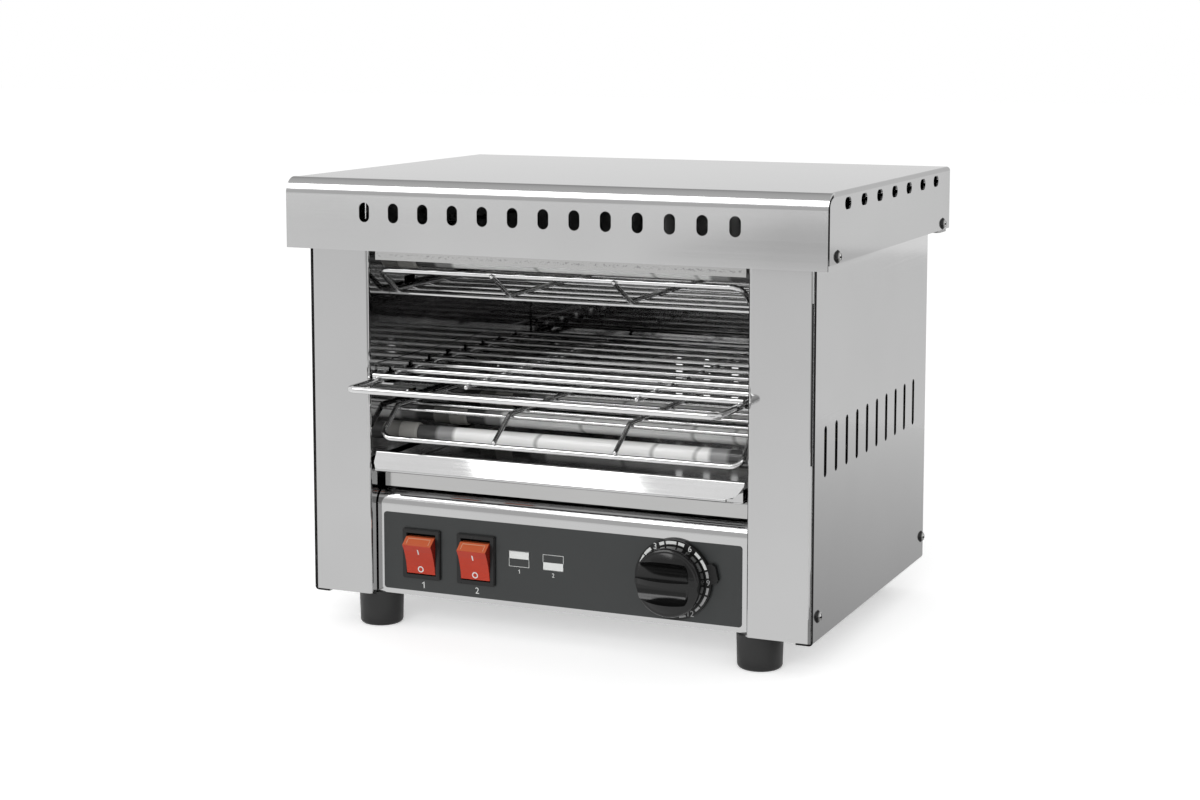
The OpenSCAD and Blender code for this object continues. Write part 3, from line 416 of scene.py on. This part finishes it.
def figures(name, text, size, x, z, face_y, key, slot):
    """Plain figures as a thin plate on the surface at face_y, with their middle at (x, z)"""
    curve = bpy.data.curves.new(name, "FONT")
    curve.body, curve.size = text, size / 1000
    curve.align_x, curve.align_y = "CENTER", "CENTER"
    curve.extrude = FIGURE_T / 2 / 1000
    draft = bpy.data.objects.new(name + "_curve", curve)
    scene.collection.objects.link(draft)
    bpy.context.view_layer.update()
    depsgraph = bpy.context.evaluated_depsgraph_get()
    mesh = bpy.data.meshes.new_from_object(draft.evaluated_get(depsgraph))
    bpy.data.objects.remove(draft)
    low = Vector([min(v.co[i] for v in mesh.vertices) for i in range(3)])
    high = Vector([max(v.co[i] for v in mesh.vertices) for i in range(3)])
    mesh.transform(Matrix.Translation(-(low + high) / 2))
    middle = place(x, face_y - FIGURE_T / 2, z)
    mesh.transform(Matrix.Translation(middle) @ Matrix.Rotation(math.radians(90), 4, "X"))
    mesh.name = name
    mesh.materials.clear()
    attach(name, mesh, key, "case")


# The label's numbers and pictograms
LABEL_Y = 7.7
ICON_LINE = 0.25
LABEL_PRINT = (LABEL_Y, "print_white", "label_black")


def figure_one(name, x, z, h):
    """A plain figure 1: a stem with a short flag"""
    stem = x + 0.12 * h
    flag = [(stem, z + 0.5 * h), (stem - 0.34 * h, z + 0.24 * h),
            (stem - 0.34 * h, z + 0.11 * h), (stem, z + 0.36 * h)]
    plates(name, [band(stem, z, 0.15 * h, h), flag], *LABEL_PRINT)


figure_one("number_switch_1", -91.5, 7.4, 4.1)
figure_one("number_icon_1", -25.4, 22.4, 2.5)
figures("number_switch_2", "2", 5.6, -54.1, 7.5, *LABEL_PRINT)
figures("number_icon_2", "2", 3.6, -2.5, 22.2, *LABEL_PRINT)
plates("icon_upper_heat",
       [band(-25.4, 32.6, 13.6, 4.8)] + outline(-32.2, 25.2, -18.6, 34.9, ICON_LINE), *LABEL_PRINT)
plates("icon_lower_heat",
       [band(-2.5, 27.4, 13.8, 4.9)] + outline(-9.4, 25.0, 4.4, 34.7, ICON_LINE), *LABEL_PRINT)

# Scale on the dial ring
TIMER_X, TIMER_Z, DIAL_Y = 76.5, 28.2, 4.7
MARK_R = 22.45
NUMBER_SIZE = 5.0
STEP_ANGLE = 3
# Each bar of the scale: start and end angle, and its width at both; the later bars clockwise are
# printed grey
SCALE = {
    "print_white": ((166, 144, 0.25, 1.5), (142, 128, 1.6, 1.9), (112, 104, 1.9, 1.9),
                    (101, 84, 1.9, 1.9), (81, 71, 1.9, 1.9), (51, 40, 1.9, 1.8),
                    (37, 21, 1.8, 1.7)),
    "print_grey": ((18, 8, 1.7, 1.6), (-7, -18, 1.5, 1.5), (-21, -38, 1.5, 1.4),
                   (-41, -50, 1.4, 1.3), (-68, -79, 1.2, 1.0)),
}
NUMBERS = (("3", 120, "print_white"), ("6", 61, "print_white"),
           ("9", 1, "print_grey"), ("12", -59, "print_grey"))


def on_dial(r, angle):
    return (TIMER_X + r * math.cos(angle), TIMER_Z + r * math.sin(angle))


def arc_mark(start, end, width_0, width_1):
    """A bar along the ring from one angle to another, clockwise, as short quads"""
    shapes, steps = [], max(2, int(abs(start - end) / STEP_ANGLE))
    for i in range(steps):
        (a, wa), (b, wb) = [(math.radians(start + (end - start) * k / steps),
                             width_0 + (width_1 - width_0) * k / steps) for k in (i, i + 1)]
        shapes.append([on_dial(MARK_R - wa / 2, a), on_dial(MARK_R + wa / 2, a),
                       on_dial(MARK_R + wb / 2, b), on_dial(MARK_R - wb / 2, b)])
    return shapes


for piece_name, key in (("dial_scale", "print_white"), ("dial_scale_grey", "print_grey")):
    marks = [shape for arc in SCALE[key] for shape in arc_mark(*arc)]
    plates(piece_name, marks, DIAL_Y, key, "dial_black")
for text, angle, key in NUMBERS:
    x, z = on_dial(MARK_R, math.radians(angle))
    figures("dial_number_" + text, text, NUMBER_SIZE, x, z, DIAL_Y, key, "dial_black")

# Marks on the rockers, on the facets of their faces; each rocker tips about its pivot by TIP
PIVOT_Y, PIVOT_Z, TIP = 11.3, 27.0, math.radians(18)
ROCKER_X = {1: -92.0, 2: -54.3}
HALF, CREST = 12.4, 9.9
RIM_OUT, CREST_OUT, SLOPE_OUT, MIDDLE_OUT = -2.6, -9.1, -8.2, -8.0
PROFILE = [(-HALF, RIM_OUT), (-CREST, CREST_OUT), (-CREST / 2, SLOPE_OUT), (0, MIDDLE_OUT),
           (CREST / 2, SLOPE_OUT), (CREST, CREST_OUT), (HALF, RIM_OUT)]
PROUD, SUNK = 0.05, 0.1


def face_out(z):
    """The rocker face's y at local height z"""
    for (z0, y0), (z1, y1) in zip(PROFILE, PROFILE[1:]):
        if z0 <= z <= z1:
            return y0 + (y1 - y0) * (z - z0) / (z1 - z0)
    return RIM_OUT


def on_rocker(x, z, out):
    """A point at rest that stands out from the face"""
    y = face_out(z) - out
    return place(x, PIVOT_Y + y * math.cos(TIP) - z * math.sin(TIP),
                 PIVOT_Z + y * math.sin(TIP) + z * math.cos(TIP))


# Pale orange bars along the rockers' rims: painted highlights of their moulded edges
RIM_HIGHLIGHT_BARS = (band(0, 11.9, 15.6, 0.24), band(-7.6, 11.1, 0.5, 1.5), band(7.6, 11.1, 0.5, 1.5))
ROCKER_MARKS = (
    ("mark_i", "print_white", [band(0, 5.0, 0.75, 3.6)]),
    ("mark_o", "print_white", ring(0, -7.0, 2.0, 1.3)),
    ("rim_highlights", "rocker_rim", [[(x, s * z) for x, z in bar] for s in (1, -1) for bar in RIM_HIGHLIGHT_BARS]),
)
for number, middle in ROCKER_X.items():
    for label, key, shapes in ROCKER_MARKS:
        points, faces = [], []
        for shape in shapes:
            base = len(points)
            for out in (PROUD, -SUNK):
                points += [on_rocker(middle + x, z, out) for x, z in shape]
            faces.append((base, base + 1, base + 2, base + 3))
            faces += [(base + i, base + 4 + i, base + 4 + (i + 1) % 4, base + (i + 1) % 4)
                      for i in range(4)]
        make("rocker_%d_%s" % (number, label), points, faces, key, "rocker_%d" % number)


# ---------------------------------------------------------------- floor and backdrop
def seen_rays(tree_nodes, links, camera_share, gloss_share):
    """Strength for the rays that show the background: camera, glossy and transmission rays"""
    path = tree_nodes.new("ShaderNodeLightPath")
    found = None
    for name, share in (("Is Camera Ray", camera_share), ("Is Glossy Ray", gloss_share),
                        ("Is Transmission Ray", gloss_share)):
        scaled = tree_nodes.new("ShaderNodeMath")
        scaled.operation = "MULTIPLY"
        scaled.inputs[1].default_value = share
        links.new(path.outputs[name], scaled.inputs[0])
        if found is not None:
            most = tree_nodes.new("ShaderNodeMath")
            most.operation = "MAXIMUM"
            links.new(found, most.inputs[0])
            links.new(scaled.outputs[0], most.inputs[1])
            scaled = most
        found = scaled.outputs[0]
    return found


FLOOR_HALF = 9
FLOOR_CAMERA_GLOW, FLOOR_GLOSS_GLOW = 0.42, 0.24
floor_mesh = bpy.data.meshes.new("floor")
floor_mesh.from_pydata([(x * FLOOR_HALF, y * FLOOR_HALF, 0)
                        for x, y in ((-1, -1), (1, -1), (1, 1), (-1, 1))], [], [(0, 1, 2, 3)])
floor = bpy.data.objects.new("floor", floor_mesh)
scene.collection.objects.link(floor)
t = Tree("floor_white")
t.set(Base_Color=(0.88, 0.88, 0.88, 1), Roughness=0.7, Specular_IOR_Level=0.0)
glow = t.add("ShaderNodeEmission")
t.join(seen_rays(t.nodes, t.links, FLOOR_CAMERA_GLOW, FLOOR_GLOSS_GLOW), glow.inputs["Strength"])
both = t.add("ShaderNodeAddShader")
t.join(t.shader.outputs[0], both.inputs[0])
t.join(glow.outputs[0], both.inputs[1])
t.join(both.outputs[0], t.output.inputs["Surface"])
floor_mesh.materials.append(t.material)

# The world lights with AMBIENT, and is white where it is seen or mirrored
AMBIENT = 0.68
world = bpy.data.worlds.new("studio")
scene.world = world
world.use_nodes = True
world_nodes, world_links = world.node_tree.nodes, world.node_tree.links
background = next(n for n in world_nodes if n.type == "BACKGROUND")
background.inputs["Color"].default_value = (1, 1, 1, 1)
total = world_nodes.new("ShaderNodeMath")
total.inputs[1].default_value = AMBIENT
world_links.new(seen_rays(world_nodes, world_links, 1 - AMBIENT, 1 - AMBIENT), total.inputs[0])
world_links.new(total.outputs[0], background.inputs["Strength"])

# ---------------------------------------------------------------- lamp
LAMP_AT, LAMP_LOOK = Vector((0.8, -3.8, 1.6)), Vector((0, 0, 0.14))
lamp_data = bpy.data.lights.new("key", "AREA")
lamp_data.shape = "RECTANGLE"
lamp_data.size, lamp_data.size_y, lamp_data.energy = 3.0, 2.0, 84
lamp = bpy.data.objects.new("key", lamp_data)
scene.collection.objects.link(lamp)
lamp.location = LAMP_AT
lamp.rotation_euler = (LAMP_LOOK - LAMP_AT).to_track_quat("-Z", "Y").to_euler()
lamp.visible_glossy = False


# ---------------------------------------------------------------- what the polished steel sees
def card(name, corners, strength, far=None):
    """A board that only reflections see; with far, its strength changes to far along its own y"""
    middle = sum((Vector(c) for c in corners), Vector()) / 4
    mesh = bpy.data.meshes.new(name)
    mesh.from_pydata([Vector(c) - middle for c in corners], [], [(0, 1, 2, 3)])
    board = bpy.data.objects.new(name, mesh)
    scene.collection.objects.link(board)
    board.location = middle
    t = Tree(name)
    glow = t.add("ShaderNodeEmission")
    glow.inputs["Strength"].default_value = strength
    if far is not None:
        t.join(t.spread(t.split("Generated")["Y"], strength, far, 0, 1), glow.inputs["Strength"])
    t.join(glow.outputs[0], t.output.inputs["Surface"])
    mesh.materials.append(t.material)
    board.visible_camera = False
    board.visible_diffuse = False
    board.visible_shadow = False
    board.visible_transmission = False


def upright(name, x0, x1, z0, z1, y, strength):
    card(name, [(x0, y, z0), (x1, y, z0), (x1, y, z1), (x0, y, z1)], strength)


def lying(name, x0, x1, y0, y1, z, strength, far=None):
    card(name, [(x0, y0, z), (x1, y0, z), (x1, y1, z), (x0, y1, z)], strength, far)


# The room: a wide soft box in front and to the left with the unlit room under it, a grey end
# behind the camera and a grey ceiling that darkens to the back; the white world is behind
card("softbox_front",
     [(-3.4, -2.7, 2.50), (-0.5, -3.0, 1.86), (-0.5, -1.0, 2.96), (-3.4, -1.0, 2.96)], 5.0)
upright("grey_under_box", -3.6, 1.1, 0.26, 1.84, -3.04, 0.70)
upright("pale_under_box", -1.6, 1.1, 0.0, 0.26, -3.04, 1.0)
upright("grey_camera_end", 0.75, 4.1, 0.1, 2.4, -2.9, 0.50)
lying("grey_ceiling", -3.6, 3.0, -1.0, 6.5, 2.96, 0.74, 0.46)

# The table: pale in front and behind, darker at the right side panel and far to the right
lying("table_right", 0.17, 0.90, -0.23, 0.70, 0.002, 0.35, 0.88)
lying("table_front", -2.6, 0.18, -2.95, -0.11, 0.002, 0.93, 1.10)
lying("table_dim", -0.82, 0.18, -2.95, -2.2, 0.004, 0.66)
lying("table_back", 0.4, 2.2, 2.25, 5.0, 0.002, 1.18)
card("table_far_right",
     [(0.31, -0.79, 0.003), (0.79, -3.04, 0.003), (2.76, -1.61, 0.003), (0.77, -0.46, 0.003)],
     0.55)

# Flags that take the soft box off both ends of the tray's lip, and one that darkens the bend of
# the right post
lying("flag_left", -0.50, -0.18, -0.330, -0.270, 0.285, 1.15)
lying("flag_right", -0.05, 0.30, -0.330, -0.270, 0.285, 1.2)
POST_FLAG_ENDS = ((0.16475, -0.1121), (0.1687, -0.1065))
POST_FLAG_Z = (0.125, 0.2188)
(left, right), (bottom, top) = POST_FLAG_ENDS, POST_FLAG_Z
card("flag_post", [(*left, bottom), (*right, bottom), (*right, top), (*left, top)], 0.05)

# ---------------------------------------------------------------- finish
scene.view_settings.view_transform = "Standard"
